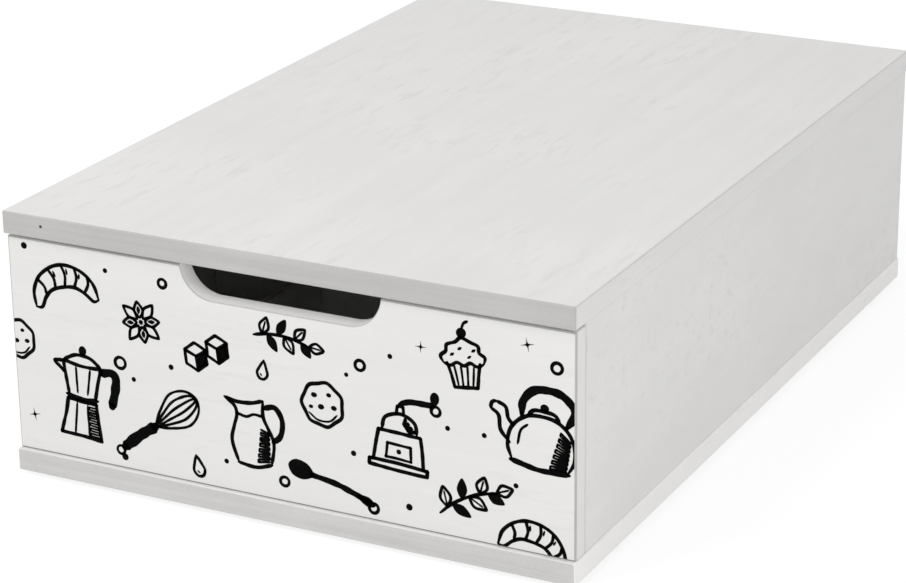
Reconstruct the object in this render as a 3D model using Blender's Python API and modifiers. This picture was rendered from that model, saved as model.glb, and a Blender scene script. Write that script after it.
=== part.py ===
"""A low wooden box with one drawer for coffee capsules, built piece by piece at its real size.

Lengths are in metres. The origin is on the worktop under the middle of the whole object, the
drawer opens towards -Y and +Z is up.
"""

import math
from collections import namedtuple

import bmesh
import bpy
from mathutils import Matrix, Vector

# Carcass: a top and a bottom panel with the side panels between them
CARCASS_WIDTH = 0.210
CARCASS_DEPTH = 0.310
CARCASS_HEIGHT = 0.094
TOP_THICKNESS = 0.008
BOTTOM_THICKNESS = 0.008
SIDE_THICKNESS = 0.008
SIDE_INSET = 0.0006  # the side panels stand in this far from the top panel's edges
ARRIS_RADIUS = 0.0007  # rounding of every board's edges
ARRIS_SEGMENTS = 2

# Clearances shared by all pieces
JOINT_GAP = 0.0003  # between pieces that touch, and round a fastener in its hole
CUT_OVERRUN = 0.004  # how far a cut runs out of the board that it opens
MERGE_DISTANCE = 0.00001

# Back panel, set into a rebate that runs round the rear of the carcass
BACK_THICKNESS = 0.003
BACK_RECESS = 0.0015
REBATE_WIDTH = 0.004

# Headed pins that hold the back panel
PIN_RADIUS = 0.0006
PIN_LENGTH = 0.012
PIN_POINT_LENGTH = 0.0015
PIN_HEAD_RADIUS = 0.0014
PIN_HEAD_THICKNESS = 0.0006
PIN_SPREAD_SHARE = 0.3

# Blind dowels, of one kind throughout
DOWEL_RADIUS = 0.002
DOWEL_LENGTH = 0.016
DOWEL_CHAMFER = 0.0005
DOWEL_COVER = 0.0027  # wood left between a blind hole and the board's far face
TOP_DOWEL_SHARES = (-0.36, 0.0, 0.36)
DRAWER_DOWEL_SHARES = (0.3, 0.76)

# Countersunk screws, driven from below into the side panels
SCREW_RADIUS = 0.0015
SCREW_LENGTH = 0.022
SCREW_POINT_LENGTH = 0.003
SCREW_HEAD_RADIUS = 0.003
SCREW_HEAD_HEIGHT = 0.0017
SCREW_HEAD_RIM = 0.0003
RECESS_LENGTH = 0.0034
RECESS_WIDTH = 0.0007
RECESS_DEPTH = 0.0012
SCREW_SHARES = (-0.4, 0.0, 0.4)

# Round pads under the bottom panel
FOOT_RADIUS = 0.007
FOOT_THICKNESS = 0.0015
FOOT_CHAMFER = 0.0003
FOOT_INSET = 0.020

# Drawer front with its finger notch
FRONT_THICKNESS = 0.007
FRONT_RECESS = 0.0015  # the closed front's face stands this far behind the carcass front
FRONT_SIDE_INSET = 0.0004
FRONT_TOP_GAP = 0.001
FRONT_BOTTOM_GAP = 0.0004
CLOSED_GAP = 0.0005  # between the closed front and the side panels' front edges
NOTCH_WIDTH = 0.074
NOTCH_DEPTH = 0.011
NOTCH_CORNER_RADIUS = 0.010
NOTCH_CORNER_SEGMENTS = 8

# Drawer box
DRAWER_BOARD = 0.008
DRAWER_SIDE_DROP = 0.015  # from the front's top edge down to the top of the sides and back
DRAWER_SIDE_CLEARANCE = 0.001
DRAWER_REAR_CLEARANCE = 0.003
DRAWER_BOTTOM_THICKNESS = 0.003
GROOVE_DEPTH = 0.004
GROOVE_RISE = 0.004  # from the lower edge of the drawer's sides up to the drawer bottom

# Half-lapped dividers, loose in the drawer
DIVIDER_THICKNESS = 0.003
DIVIDER_HEIGHT = 0.034
DIVIDER_END_GAP = 0.0005
LANE_COUNT = 4
ROW_COUNT = 3

# How finely round pieces and round holes are cut
ROUND_STEPS = 16
FOOT_STEPS = 32
SHARP_EDGE = math.radians(35)

# Heights, from the worktop up
BOTTOM_UNDERSIDE = FOOT_THICKNESS + JOINT_GAP
BOTTOM_TOPSIDE = BOTTOM_UNDERSIDE + BOTTOM_THICKNESS
TOP_TOPSIDE = BOTTOM_UNDERSIDE + CARCASS_HEIGHT
TOP_UNDERSIDE = TOP_TOPSIDE - TOP_THICKNESS
FRONT_BOTTOM = BOTTOM_TOPSIDE + FRONT_BOTTOM_GAP
FRONT_TOP = TOP_UNDERSIDE - FRONT_TOP_GAP
DRAWER_LOW = BOTTOM_TOPSIDE + JOINT_GAP
DRAWER_HIGH = FRONT_TOP - DRAWER_SIDE_DROP
DRAWER_FLOOR = DRAWER_LOW + GROOVE_RISE + DRAWER_BOTTOM_THICKNESS
DIVIDER_LOW = DRAWER_FLOOR + JOINT_GAP

# Places across the width, from the middle out
PANEL_EDGE_X = CARCASS_WIDTH / 2
SIDE_OUTER_X = PANEL_EDGE_X - SIDE_INSET
SIDE_MIDDLE_X = SIDE_OUTER_X - SIDE_THICKNESS / 2
SIDE_INNER_X = SIDE_OUTER_X - SIDE_THICKNESS
DRAWER_OUTER_X = SIDE_INNER_X - DRAWER_SIDE_CLEARANCE
DRAWER_MIDDLE_X = DRAWER_OUTER_X - DRAWER_BOARD / 2
DRAWER_INNER_X = DRAWER_OUTER_X - DRAWER_BOARD

# Places along the depth, from the front to the rear
CARCASS_FRONT_Y = -CARCASS_DEPTH / 2
CARCASS_REAR_Y = CARCASS_DEPTH / 2
FRONT_FACE_Y = CARCASS_FRONT_Y + FRONT_RECESS
FRONT_BACK_Y = FRONT_FACE_Y + FRONT_THICKNESS
SIDE_FRONT_Y = FRONT_BACK_Y + CLOSED_GAP
BACK_REAR_Y = CARCASS_REAR_Y - BACK_RECESS
BACK_FRONT_Y = BACK_REAR_Y - BACK_THICKNESS
REBATE_SHOULDER_Y = BACK_FRONT_Y - JOINT_GAP
DRAWER_REAR_Y = BACK_FRONT_Y - DRAWER_REAR_CLEARANCE
DRAWER_BACK_Y = DRAWER_REAR_Y - DRAWER_BOARD
CARCASS_MIDDLE_Y = (SIDE_FRONT_Y + CARCASS_REAR_Y) / 2

UPWARD = (0, 0, 1)
REARWARD = (0, 1, 0)

Look = namedtuple("Look", "colour roughness metallic")
WHITE_PAINT = Look((0.75, 0.75, 0.73), 0.45, 0.0)
WHITE_SHEET = Look((0.72, 0.72, 0.70), 0.55, 0.0)
BEECH = Look((0.55, 0.36, 0.20), 0.60, 0.0)
ZINC_PLATE = Look((0.60, 0.60, 0.62), 0.30, 1.0)
DARK_PAD = Look((0.05, 0.05, 0.05), 0.85, 0.0)


def clear_scene():
    for item in list(bpy.data.objects):
        bpy.data.objects.remove(item, do_unlink=True)


def new_collection(name):
    collection = bpy.data.collections.new(name)
    bpy.context.scene.collection.children.link(collection)
    return collection


def move_to(item, collection):
    for holder in list(item.users_collection):
        holder.objects.unlink(item)
    collection.objects.link(item)


def new_body(name, place, collection):
    """An empty that carries every piece that moves with it."""
    body = bpy.data.objects.new(name, None)
    body.location = place
    collection.objects.link(body)
    return body


def hang_on(item, body):
    """Parents the item to the body and leaves it where it is."""
    item.parent = body
    item.matrix_parent_inverse = Matrix.Translation(-body.location)


def material_of(name, look):
    material = bpy.data.materials.new(name)
    material.use_nodes = True
    shader = material.node_tree.nodes["Principled BSDF"]
    shader.inputs["Base Color"].default_value = (*look.colour, 1)
    shader.inputs["Roughness"].default_value = look.roughness
    shader.inputs["Metallic"].default_value = look.metallic
    material.diffuse_color = (*look.colour, 1)
    return material


class Workshop:
    """Makes pieces and cutters, each in its collection and on its body."""

    def __init__(self):
        self.pieces = new_collection("capsule_drawer")
        self.cutters = new_collection("capsule_drawer_cutters")

    def finish(self, piece, body, look):
        """Turns a fresh object into a piece of the body."""
        piece.data.materials.clear()
        piece.data.materials.append(material_of(piece.name, look))
        move_to(piece, self.pieces)
        hang_on(piece, body)
        return piece

    def keep_as_cutter(self, cutter, body):
        cutter.hide_render = True
        cutter.display_type = "WIRE"
        move_to(cutter, self.cutters)
        hang_on(cutter, body)
        return cutter

    def board(self, name, low, high, body, look):
        """A board between two opposite corners, with every edge rounded."""
        piece = self.sheet(name, low, high, body, look)
        rounding = piece.modifiers.new("arris", "BEVEL")
        rounding.width = ARRIS_RADIUS
        rounding.segments = ARRIS_SEGMENTS
        return piece

    def sheet(self, name, low, high, body, look):
        """A thin sheet between two opposite corners, with crisp edges."""
        return self.finish(box_between(name, low, high), body, look)

    def copy_of(self, mesh, name, place, direction, body, look):
        """A fastener or pad from a shared shape, whose +Z is turned along the direction."""
        return self.finish(placed_copy(mesh, name, place, direction), body, look)

    def slot(self, name, low, high, body):
        """A box that cuts a slot, groove or rebate."""
        return self.keep_as_cutter(box_between(name, low, high), body)

    def hole(self, name, start, end, radius, body):
        """A plain round hole from one point to another."""
        run = Vector(end) - Vector(start)
        bpy.ops.mesh.primitive_cylinder_add(
            vertices=ROUND_STEPS,
            radius=radius,
            depth=run.length,
            location=(Vector(start) + Vector(end)) / 2,
            rotation=facing(run).to_euler(),
        )
        cutter = bpy.context.object
        cutter.name = name
        return self.keep_as_cutter(cutter, body)

    def shaped_hole(self, mesh, name, place, direction, body):
        """A hole cut by a copy of a shared shape."""
        return self.keep_as_cutter(placed_copy(mesh, name, place, direction), body)


def box_between(name, low, high):
    low, high = Vector(low), Vector(high)
    bpy.ops.mesh.primitive_cube_add(size=1, location=(low + high) / 2, scale=high - low)
    bpy.ops.object.transform_apply(location=False, rotation=False, scale=True)
    box = bpy.context.object
    box.name = name
    return box


def facing(direction):
    """The turn that points +Z along the direction."""
    return Vector(direction).to_track_quat("Z", "Y")


def placed_copy(mesh, name, place, direction):
    """An object with its own copy of the shape, its +Z turned along the direction."""
    item = bpy.data.objects.new(name, mesh.copy())
    item.location = place
    item.rotation_mode = "QUATERNION"
    item.rotation_quaternion = facing(direction)
    bpy.context.scene.collection.objects.link(item)
    return item


def cut(cutter, *pieces):
    for piece in pieces:
        opening = piece.modifiers.new(cutter.name, "BOOLEAN")
        opening.operation = "DIFFERENCE"
        opening.object = cutter


def turned_object(name, profile, steps):
    """A solid turned about Z from (radius, height) points, listed from the top down."""
    mesh = bpy.data.meshes.new(name)
    points = [(radius, 0, height) for radius, height in profile]
    mesh.from_pydata(points, [(i, i + 1) for i in range(len(points) - 1)], [])
    solid = bpy.data.objects.new(name, mesh)
    bpy.context.scene.collection.objects.link(solid)
    turning = solid.modifiers.new("turn", "SCREW")
    turning.steps = turning.render_steps = steps
    turning.use_merge_vertices = True
    turning.merge_threshold = MERGE_DISTANCE
    return solid


def shape_of(solid, *cutters):
    """The finished mesh of a modelled solid, which is then taken away with its cutters."""
    for cutter in cutters:
        cut(cutter, solid)
    bpy.context.view_layer.update()
    graph = bpy.context.evaluated_depsgraph_get()
    mesh = bpy.data.meshes.new_from_object(solid.evaluated_get(graph))
    mesh.name = solid.name
    mesh.shade_smooth()
    mesh.set_sharp_from_angle(angle=SHARP_EDGE)
    for item in (solid, *cutters):
        bpy.data.objects.remove(item, do_unlink=True)
    return mesh


def dowel_shape():
    """A dowel with chamfered ends, from its origin up."""
    profile = (
        (0, DOWEL_LENGTH),
        (DOWEL_RADIUS - DOWEL_CHAMFER, DOWEL_LENGTH),
        (DOWEL_RADIUS, DOWEL_LENGTH - DOWEL_CHAMFER),
        (DOWEL_RADIUS, DOWEL_CHAMFER),
        (DOWEL_RADIUS - DOWEL_CHAMFER, 0),
        (0, 0),
    )
    return shape_of(turned_object("dowel", profile, ROUND_STEPS))


def screw_shape():
    """A countersunk screw with a cross recess, its head's flat face at the origin, pointing up."""
    profile = (
        (0, SCREW_LENGTH),
        (SCREW_RADIUS, SCREW_LENGTH - SCREW_POINT_LENGTH),
        (SCREW_RADIUS, SCREW_HEAD_HEIGHT),
        (SCREW_HEAD_RADIUS, SCREW_HEAD_RIM),
        (SCREW_HEAD_RADIUS, 0),
        (0, 0),
    )
    arms = [
        box_between(
            "recess_arm",
            (-length / 2, -width / 2, -RECESS_DEPTH),
            (length / 2, width / 2, RECESS_DEPTH),
        )
        for length, width in ((RECESS_LENGTH, RECESS_WIDTH), (RECESS_WIDTH, RECESS_LENGTH))
    ]
    return shape_of(turned_object("screw", profile, ROUND_STEPS), *arms)


def screw_hole_shape():
    """The hole and countersink of a screw, as wide again as the clearance all round."""
    profile = (
        (0, SCREW_LENGTH + JOINT_GAP),
        (SCREW_RADIUS + JOINT_GAP, SCREW_LENGTH + JOINT_GAP),
        (SCREW_RADIUS + JOINT_GAP, SCREW_HEAD_HEIGHT + JOINT_GAP),
        (SCREW_HEAD_RADIUS + JOINT_GAP, SCREW_HEAD_RIM + JOINT_GAP),
        (SCREW_HEAD_RADIUS + JOINT_GAP, -CUT_OVERRUN),
        (0, -CUT_OVERRUN),
    )
    return shape_of(turned_object("screw_hole", profile, ROUND_STEPS))


def pin_shape():
    """A headed pin, the underside of its head at the origin, pointing down."""
    profile = (
        (0, PIN_HEAD_THICKNESS),
        (PIN_HEAD_RADIUS, PIN_HEAD_THICKNESS),
        (PIN_HEAD_RADIUS, 0),
        (PIN_RADIUS, 0),
        (PIN_RADIUS, PIN_POINT_LENGTH - PIN_LENGTH),
        (0, -PIN_LENGTH),
    )
    return shape_of(turned_object("pin", profile, ROUND_STEPS))


def foot_shape():
    """A round pad with its lower edge eased, from its origin up."""
    profile = (
        (0, FOOT_THICKNESS),
        (FOOT_RADIUS, FOOT_THICKNESS),
        (FOOT_RADIUS, FOOT_CHAMFER),
        (FOOT_RADIUS - FOOT_CHAMFER, 0),
        (0, 0),
    )
    return shape_of(turned_object("foot", profile, FOOT_STEPS))


def sides():
    """The name and the sign along X of the left and the right hand side."""
    return (("left", -1), ("right", 1))


def between_signed(sign, inner, outer):
    """The lower and the upper X of a board on one side of the middle."""
    return min(sign * inner, sign * outer), max(sign * inner, sign * outer)


def build_carcass(shop, body):
    """Top, bottom, side and back panels, with the rebate that takes the back panel."""
    top = shop.board(
        "top_panel",
        (-PANEL_EDGE_X, CARCASS_FRONT_Y, TOP_UNDERSIDE),
        (PANEL_EDGE_X, CARCASS_REAR_Y, TOP_TOPSIDE),
        body,
        WHITE_PAINT,
    )
    bottom = shop.board(
        "bottom_panel",
        (-PANEL_EDGE_X, CARCASS_FRONT_Y, BOTTOM_UNDERSIDE),
        (PANEL_EDGE_X, CARCASS_REAR_Y, BOTTOM_TOPSIDE),
        body,
        WHITE_PAINT,
    )
    side_panels = {}
    for name, sign in sides():
        low_x, high_x = between_signed(sign, SIDE_INNER_X, SIDE_OUTER_X)
        side_panels[name] = shop.board(
            f"side_panel_{name}",
            (low_x, SIDE_FRONT_Y, BOTTOM_TOPSIDE + JOINT_GAP),
            (high_x, CARCASS_REAR_Y, TOP_UNDERSIDE - JOINT_GAP),
            body,
            WHITE_PAINT,
        )
    rebate = shop.slot(
        "back_rebate",
        (-SIDE_INNER_X - REBATE_WIDTH, REBATE_SHOULDER_Y, BOTTOM_TOPSIDE - REBATE_WIDTH),
        (
            SIDE_INNER_X + REBATE_WIDTH,
            CARCASS_REAR_Y + CUT_OVERRUN,
            TOP_UNDERSIDE + REBATE_WIDTH,
        ),
        body,
    )
    cut(rebate, top, bottom, *side_panels.values())
    overlap = REBATE_WIDTH - JOINT_GAP
    back = shop.sheet(
        "back_panel",
        (-SIDE_INNER_X - overlap, BACK_FRONT_Y, BOTTOM_TOPSIDE - overlap),
        (SIDE_INNER_X + overlap, BACK_REAR_Y, TOP_UNDERSIDE + overlap),
        body,
        WHITE_SHEET,
    )
    return top, bottom, side_panels, back


def fit_top_dowels(shop, body, top, side_panels):
    """Blind dowels that join the side panels to the top panel."""
    shape = dowel_shape()
    tip = TOP_TOPSIDE - DOWEL_COVER - JOINT_GAP
    root = tip - DOWEL_LENGTH
    for name, sign in sides():
        for number, share in enumerate(TOP_DOWEL_SHARES, 1):
            x, y = sign * SIDE_MIDDLE_X, CARCASS_MIDDLE_Y + share * CARCASS_DEPTH
            hole = shop.hole(
                f"top_dowel_hole_{name}_{number}",
                (x, y, root - JOINT_GAP),
                (x, y, tip + JOINT_GAP),
                DOWEL_RADIUS + JOINT_GAP,
                body,
            )
            cut(hole, top, side_panels[name])
            shop.copy_of(
                shape, f"top_dowel_{name}_{number}", (x, y, root), UPWARD, body, BEECH
            )


def fit_bottom_screws(shop, body, bottom, side_panels):
    """Countersunk screws through the bottom panel into the side panels."""
    shape = screw_shape()
    hole_shape = screw_hole_shape()
    for name, sign in sides():
        for number, share in enumerate(SCREW_SHARES, 1):
            place = (
                sign * SIDE_MIDDLE_X,
                CARCASS_MIDDLE_Y + share * CARCASS_DEPTH,
                BOTTOM_UNDERSIDE,
            )
            hole = shop.shaped_hole(
                hole_shape, f"screw_hole_{name}_{number}", place, UPWARD, body
            )
            cut(hole, bottom, side_panels[name])
            shop.copy_of(
                shape, f"bottom_screw_{name}_{number}", place, UPWARD, body, ZINC_PLATE
            )


def fit_back_pins(shop, body, back, holders):
    """Pins through the margin of the back panel into the shoulder of the rebate.

    The holders are the boards at the top, the bottom, the left and the right.
    """
    shape = pin_shape()
    middle_z = (BOTTOM_TOPSIDE + TOP_UNDERSIDE) / 2
    edge_x = SIDE_INNER_X + REBATE_WIDTH / 2
    spread_x = PIN_SPREAD_SHARE * CARCASS_WIDTH
    places = {
        "top_left": (-spread_x, TOP_UNDERSIDE + REBATE_WIDTH / 2, holders["top"]),
        "top_right": (spread_x, TOP_UNDERSIDE + REBATE_WIDTH / 2, holders["top"]),
        "bottom_left": (-spread_x, BOTTOM_TOPSIDE - REBATE_WIDTH / 2, holders["bottom"]),
        "bottom_right": (spread_x, BOTTOM_TOPSIDE - REBATE_WIDTH / 2, holders["bottom"]),
        "left": (-edge_x, middle_z, holders["left"]),
        "right": (edge_x, middle_z, holders["right"]),
    }
    head_y = BACK_REAR_Y + JOINT_GAP
    for name, (x, z, holder) in places.items():
        hole = shop.hole(
            f"pin_hole_{name}",
            (x, BACK_REAR_Y + CUT_OVERRUN, z),
            (x, head_y - PIN_LENGTH - JOINT_GAP, z),
            PIN_RADIUS + JOINT_GAP,
            body,
        )
        cut(hole, back, holder)
        shop.copy_of(
            shape, f"back_pin_{name}", (x, head_y, z), REARWARD, body, ZINC_PLATE
        )


def fit_feet(shop, body):
    """Four pads under the bottom panel, set in from its edges."""
    shape = foot_shape()
    for side_name, sign in sides():
        for end_name, y in (
            ("front", CARCASS_FRONT_Y + FOOT_INSET),
            ("rear", CARCASS_REAR_Y - FOOT_INSET),
        ):
            place = (sign * (PANEL_EDGE_X - FOOT_INSET), y, 0)
            shop.copy_of(
                shape, f"foot_{end_name}_{side_name}", place, UPWARD, body, DARK_PAD
            )


def notch_cutter(shop, body):
    """The rounded shape that opens the finger notch in the front's top edge."""
    low_z = FRONT_TOP - NOTCH_DEPTH
    cutter = box_between(
        "finger_notch",
        (-NOTCH_WIDTH / 2, FRONT_FACE_Y - CUT_OVERRUN, low_z),
        (NOTCH_WIDTH / 2, FRONT_BACK_Y + CUT_OVERRUN, FRONT_TOP + CUT_OVERRUN),
    )
    shape = bmesh.new()
    shape.from_mesh(cutter.data)
    lower_corners = [
        edge
        for edge in shape.edges
        if max(vertex.co.z for vertex in edge.verts) < 0
        and abs(edge.verts[0].co.x - edge.verts[1].co.x) < MERGE_DISTANCE
    ]
    bmesh.ops.bevel(
        shape,
        geom=lower_corners,
        offset=NOTCH_CORNER_RADIUS,
        segments=NOTCH_CORNER_SEGMENTS,
        profile=0.5,
        affect="EDGES",
    )
    shape.to_mesh(cutter.data)
    shape.free()
    return shop.keep_as_cutter(cutter, body)


def build_drawer(shop, body):
    """Front, sides, back and bottom of the drawer, with the groove that takes the bottom."""
    front_edge_x = PANEL_EDGE_X - FRONT_SIDE_INSET
    front = shop.board(
        "drawer_front",
        (-front_edge_x, FRONT_FACE_Y, FRONT_BOTTOM),
        (front_edge_x, FRONT_BACK_Y, FRONT_TOP),
        body,
        WHITE_PAINT,
    )
    cut(notch_cutter(shop, body), front)
    drawer_sides = {}
    for name, sign in sides():
        low_x, high_x = between_signed(sign, DRAWER_INNER_X, DRAWER_OUTER_X)
        drawer_sides[name] = shop.board(
            f"drawer_side_{name}",
            (low_x, FRONT_BACK_Y + JOINT_GAP, DRAWER_LOW),
            (high_x, DRAWER_REAR_Y, DRAWER_HIGH),
            body,
            WHITE_PAINT,
        )
    back_edge_x = DRAWER_INNER_X - JOINT_GAP
    back = shop.board(
        "drawer_back",
        (-back_edge_x, DRAWER_BACK_Y, DRAWER_LOW),
        (back_edge_x, DRAWER_REAR_Y, DRAWER_HIGH),
        body,
        WHITE_PAINT,
    )
    sheet_low = DRAWER_LOW + GROOVE_RISE
    groove = shop.slot(
        "bottom_groove",
        (
            -DRAWER_INNER_X - GROOVE_DEPTH,
            FRONT_BACK_Y - GROOVE_DEPTH,
            sheet_low - JOINT_GAP,
        ),
        (
            DRAWER_INNER_X + GROOVE_DEPTH,
            DRAWER_BACK_Y + GROOVE_DEPTH,
            DRAWER_FLOOR + JOINT_GAP,
        ),
        body,
    )
    cut(groove, front, back, *drawer_sides.values())
    tongue = GROOVE_DEPTH - JOINT_GAP
    shop.sheet(
        "drawer_bottom",
        (-DRAWER_INNER_X - tongue, FRONT_BACK_Y - tongue, sheet_low),
        (DRAWER_INNER_X + tongue, DRAWER_BACK_Y + tongue, DRAWER_FLOOR),
        body,
        WHITE_SHEET,
    )
    return front, drawer_sides, back


def fit_drawer_dowels(shop, body, front, drawer_sides, back):
    """Blind dowels from the sides into the front, and from the sides into the back."""
    shape = dowel_shape()
    height = DRAWER_HIGH - DRAWER_LOW
    front_tip = FRONT_FACE_Y + DOWEL_COVER + JOINT_GAP
    side_tip = DRAWER_OUTER_X - DOWEL_COVER - JOINT_GAP
    back_y = (DRAWER_BACK_Y + DRAWER_REAR_Y) / 2
    hole_radius = DOWEL_RADIUS + JOINT_GAP
    for name, sign in sides():
        side = drawer_sides[name]
        for number, share in enumerate(DRAWER_DOWEL_SHARES, 1):
            x, z = sign * DRAWER_MIDDLE_X, DRAWER_LOW + share * height
            front_hole = shop.hole(
                f"front_dowel_hole_{name}_{number}",
                (x, front_tip - JOINT_GAP, z),
                (x, front_tip + DOWEL_LENGTH + JOINT_GAP, z),
                hole_radius,
                body,
            )
            cut(front_hole, front, side)
            shop.copy_of(
                shape,
                f"front_dowel_{name}_{number}",
                (x, front_tip, z),
                REARWARD,
                body,
                BEECH,
            )
            back_hole = shop.hole(
                f"back_dowel_hole_{name}_{number}",
                (sign * (side_tip + JOINT_GAP), back_y, z),
                (sign * (side_tip - DOWEL_LENGTH - JOINT_GAP), back_y, z),
                hole_radius,
                body,
            )
            cut(back_hole, back, side)
            shop.copy_of(
                shape,
                f"back_dowel_{name}_{number}",
                (sign * side_tip, back_y, z),
                (-sign, 0, 0),
                body,
                BEECH,
            )


def cell_borders(low, high, cells):
    """The middles of the dividers that part a run into equal cells."""
    return [low + (high - low) * i / cells for i in range(1, cells)]


def fit_dividers(shop, body):
    """Lengthwise dividers slotted from above, and cross dividers slotted from below."""
    half = DIVIDER_THICKNESS / 2
    high = DIVIDER_LOW + DIVIDER_HEIGHT
    lap = (DIVIDER_LOW + high) / 2
    end_x = DRAWER_INNER_X - DIVIDER_END_GAP
    front_y = FRONT_BACK_Y + DIVIDER_END_GAP
    back_y = DRAWER_BACK_Y - DIVIDER_END_GAP
    lane_xs = cell_borders(-DRAWER_INNER_X, DRAWER_INNER_X, LANE_COUNT)
    row_ys = cell_borders(FRONT_BACK_Y, DRAWER_BACK_Y, ROW_COUNT)
    lengthwise = [
        shop.sheet(
            f"divider_lengthwise_{number}",
            (x - half, front_y, DIVIDER_LOW),
            (x + half, back_y, high),
            body,
            WHITE_SHEET,
        )
        for number, x in enumerate(lane_xs, 1)
    ]
    across = [
        shop.sheet(
            f"divider_cross_{number}",
            (-end_x, y - half, DIVIDER_LOW),
            (end_x, y + half, high),
            body,
            WHITE_SHEET,
        )
        for number, y in enumerate(row_ys, 1)
    ]
    slot_half = half + JOINT_GAP
    for number, y in enumerate(row_ys, 1):
        slot = shop.slot(
            f"upper_slot_{number}",
            (-end_x, y - slot_half, lap - JOINT_GAP / 2),
            (end_x, y + slot_half, high + CUT_OVERRUN),
            body,
        )
        cut(slot, *lengthwise)
    for number, x in enumerate(lane_xs, 1):
        slot = shop.slot(
            f"lower_slot_{number}",
            (x - slot_half, front_y, DIVIDER_LOW - CUT_OVERRUN),
            (x + slot_half, back_y, lap + JOINT_GAP / 2),
            body,
        )
        cut(slot, *across)


def main():
    clear_scene()
    shop = Workshop()
    carcass = new_body("carcass", (0, 0, 0), shop.pieces)
    top, bottom, side_panels, back = build_carcass(shop, carcass)
    fit_top_dowels(shop, carcass, top, side_panels)
    fit_bottom_screws(shop, carcass, bottom, side_panels)
    fit_back_pins(shop, carcass, back, {"top": top, "bottom": bottom, **side_panels})
    fit_feet(shop, carcass)
    drawer = new_body("drawer", (0, FRONT_BACK_Y, BOTTOM_TOPSIDE), shop.pieces)
    front, drawer_sides, drawer_back = build_drawer(shop, drawer)
    fit_drawer_dowels(shop, drawer, front, drawer_sides, drawer_back)
    fit_dividers(shop, drawer)


main()
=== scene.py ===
"""The looks of a low white wooden box with one drawer for coffee capsules.

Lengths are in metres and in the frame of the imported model. The drawer opens towards -Y, and +Z is
up. Each board is built again at the place of its node, with finer rounded edges and its own holes.
"""

import math

import bmesh
import bpy
from mathutils import Matrix, Vector, noise
from mathutils.geometry import tessellate_polygon


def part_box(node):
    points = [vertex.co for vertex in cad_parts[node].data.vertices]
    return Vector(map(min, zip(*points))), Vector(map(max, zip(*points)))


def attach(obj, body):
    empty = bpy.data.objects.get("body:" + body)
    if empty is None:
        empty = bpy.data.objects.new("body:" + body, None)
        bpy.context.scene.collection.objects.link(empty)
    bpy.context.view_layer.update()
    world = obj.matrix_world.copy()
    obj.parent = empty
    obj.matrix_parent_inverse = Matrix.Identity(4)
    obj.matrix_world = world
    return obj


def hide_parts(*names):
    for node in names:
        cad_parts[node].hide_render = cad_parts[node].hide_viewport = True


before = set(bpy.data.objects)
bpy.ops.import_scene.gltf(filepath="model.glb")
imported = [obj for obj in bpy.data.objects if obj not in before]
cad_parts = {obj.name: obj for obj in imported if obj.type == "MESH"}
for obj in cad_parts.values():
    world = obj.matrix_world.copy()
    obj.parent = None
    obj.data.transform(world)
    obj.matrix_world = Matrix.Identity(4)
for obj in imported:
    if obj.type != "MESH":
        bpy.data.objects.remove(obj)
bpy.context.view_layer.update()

MM = 0.001
AXES = ((1, 0, 0), (0, 1, 0), (0, 0, 1))

# Camera, as worked out from the photograph
IMAGE_WIDTH = 906
FOCAL_PIXELS = 2913.3
SENSOR_WIDTH = 36.0
CAMERA_CLIP = (0.01, 50)
CAMERA_PLACE = (0.4468, -0.9019, 0.4101)
CAMERA_AZIMUTH = math.radians(27.177)
CAMERA_ELEVATION = math.radians(20.627)
CAMERA_ROLL = math.radians(-0.653)

# Floor and light
FLOOR_SIZE = 6
FLOOR_DROP = 0.0001  # keeps the floor and the faces of the pads apart
FLOOR_ROUGHNESS = 0.9
FLOOR_SEEN = 0.28  # the floor's grey as the camera sees it, and its own light there
FLOOR_GLOW = 0.78
FLOOR_BOUNCE = 0.60  # the same two for every other ray
FLOOR_FILL = 0.28
SKY = 0.70
LAMP_TARGET = (0, 0, 0.05)
LAMPS = (  # name, place, width and power
    ("key", (-0.6, -0.95, 1.35), 0.7, 9.4),
    ("fill", (0.62, -0.50, 0.22), 0.35, 0.62),
)

# Colours
WHITE = (1, 1, 1, 1)
PAINT = (0.80, 0.793, 0.778)
PAINTED_LIGHT_PAINT = (0.94, 0.932, 0.915)  # painted light: whiter than the paint on the bottom panel's sides and the finger notch, which lie in shade
STRIP_PAINTED_SHADE = (0.74, 0.734, 0.72)  # painted shade: darker than the paint on the bottom panel's upper face, which faces the light
EDGE_PAINT = (0.53, 0.525, 0.512)
# The bottom panel's front edge: sunk-in edge paint, lighter than the top panel's to paint in light
# thrown up from the floor
LOWER_EDGE_PAINT_AND_BOUNCE = (0.625, 0.618, 0.604)
# A dark line along the drawer front's arrises and round its notch
FRONT_ARRIS_DARK_PAINT = (0.49, 0.485, 0.474)
NOTCH_ARRIS_PAINT = (0.56, 0.555, 0.545)
# Painted shade: nearly black on the bottom panel's lower arris and the drawer front's foot, where
# shade falls under them
LOW_ARRIS_PAINTED_SHADE = (0.28, 0.276, 0.27)
SHEET = (0.78, 0.78, 0.765)
CORE = (0.66, 0.60, 0.50)
BEECH = (0.58, 0.38, 0.21)
ZINC = (0.62, 0.62, 0.64)
PAD = (0.035, 0.035, 0.035)
INK = (0.0016, 0.0016, 0.0018)

# Materials
PAINT_SPECULAR = 0.3
GLOSS_SPAN = (0.3, 0.7)  # where nearly all noise lies, which the roughness follows
TONE_SPAN = (0.35, 0.65)  # the part of it that carries a change of tone
PAINT_SPAN = (0.36, 0.64)

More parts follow.
